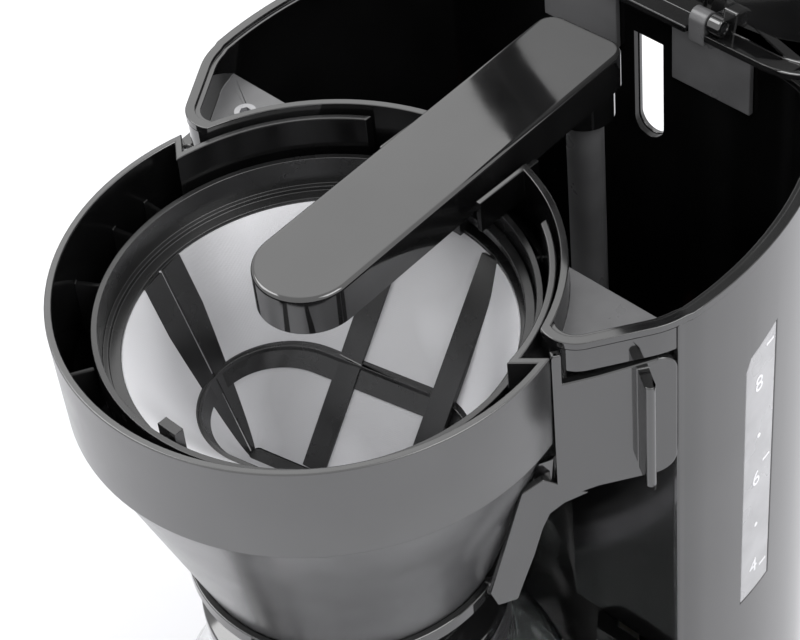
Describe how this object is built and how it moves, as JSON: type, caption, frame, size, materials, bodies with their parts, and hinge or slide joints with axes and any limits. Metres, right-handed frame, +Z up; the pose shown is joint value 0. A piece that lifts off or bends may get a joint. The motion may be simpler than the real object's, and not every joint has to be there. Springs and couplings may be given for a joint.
{
  "type": "drip coffee maker",
  "caption": "Drip coffee maker with a water tank behind, an outlet arm over a swing-out filter holder, a permanent filter, a hotplate and a glass jug.",
  "frame": {"origin": "on the table, under the middle of the object at rest with its lid open", "axes": "+Z up, front faces -Y, +X to the right seen from the front"},
  "size_m": [0.1892, 0.3174, 0.527],
  "materials": {
    "gloss_black": "polished moulded black plastic",
    "tank_black": "moulded black plastic, polished outside",
    "satin_black": "satin moulded plastic",
    "rubber_black": "soft black rubber",
    "steel": "zinc plated steel",
    "clear_plastic": "frosted clear plastic",
    "riser_plastic": "dark grey moulded plastic",
    "silicone_red": "red silicone",
    "hotplate_coat": "non-stick coating",
    "aluminium": "cast aluminium",
    "phenolic": "brown phenolic",
    "fuse_sleeve": "woven glass sleeve",
    "silicone_clear": "milky silicone hose",
    "valve_white": "white nylon",
    "rocker_red": "translucent red",
    "mesh_fabric": "fine woven nylon mesh",
    "jug_glass": "clear borosilicate glass",
    "band_steel": "brushed stainless band"
  },
  "bodies": {
    "machine": {"base_shell": "gloss_black", "base_cover": "satin_black", "feet": "rubber_black", "base_screws": "steel", "housing": "gloss_black", "column_front": "gloss_black", "water_tank": "tank_black", "tank_shelf_screw": "steel", "level_window": "clear_plastic", "riser_tube": "riser_plastic", "riser_seal": "silicone_red", "tank_outlet_seal": "silicone_red", "hotplate": "hotplate_coat", "hotplate_seal": "rubber_black", "heater_block": "aluminium", "heater_tube": "aluminium", "heater_bracket": "steel", "thermostat": "phenolic", "thermal_fuses": "fuse_sleeve", "inlet_hose": "silicone_clear", "check_valve": "valve_white", "riser_hose": "silicone_clear", "hose_clips": "steel", "switch_frame": "gloss_black", "terminal_block": "valve_white", "cord_gland": "satin_black", "lid_hinge_lugs": "gloss_black", "lid_hinge_pins": "steel", "hinge_pin": "steel"},
    "lid": {"lid_shell": "gloss_black"},
    "arm": {"outlet_arm": "gloss_black", "arm_tray": "satin_black"},
    "holder": {"swing_frame": "gloss_black", "filter_holder": "gloss_black", "drip_cage": "satin_black", "drip_seal": "silicone_red", "drip_spring": "steel", "filter_frame": "satin_black", "filter_mesh": "mesh_fabric"},
    "valve": {"drip_valve": "satin_black"},
    "bail": {"filter_bail": "satin_black"},
    "jug": {"jug_glass": "jug_glass", "jug_band": "band_steel", "jug_handle": "gloss_black", "jug_screws": "steel"},
    "jug_cover": {"jug_lid": "gloss_black"},
    "rocker": {"rocker_switch": "rocker_red"}
  },
  "joints": [
    {"name": "lid_hinge", "type": "hinge", "parent": "machine", "child": "lid", "pos_m": [0, 0.09862, 0.3105], "axis": [-1, 0, 0], "range_deg": [-104, 0]},
    {"name": "arm_swivel", "type": "hinge", "parent": "machine", "child": "arm", "pos_m": [0, 0.06912, 0.3], "axis": [0, 0, 1], "range_deg": [-1.4, 2.7]},
    {"name": "holder_swing", "type": "hinge", "parent": "machine", "child": "holder", "pos_m": [-0.084, -0.01988, 0.24], "axis": [0, 0, -1], "range_deg": [0, 95]},
    {"name": "drip_valve_lift", "type": "slide", "parent": "holder", "child": "valve", "axis": [0, 0, 1], "range_m": [0, 0.004], "stiffness_N_per_m": 150, "springref_m": -0.003, "deforming": ["drip_spring"]},
    {"name": "bail_lift", "type": "hinge", "parent": "holder", "child": "bail", "pos_m": [0, -0.04588, 0.2809], "axis": [0, -1, 0], "range_deg": [0, 10]},
    {"name": "jug_slide", "type": "slide", "parent": "machine", "child": "jug", "axis": [0, -1, 0], "range_m": [0, 0.18]},
    {"name": "jug_lid_twist", "type": "hinge", "parent": "jug", "child": "jug_cover", "pos_m": [0, -0.04588, 0.1631], "axis": [0, 0, 1], "range_deg": [0, 40]},
    {"name": "rocker_tilt", "type": "hinge", "parent": "machine", "child": "rocker", "pos_m": [0, -0.13088, 0.024], "axis": [-1, 0, 0], "range_deg": [0, 16]}
  ]
}
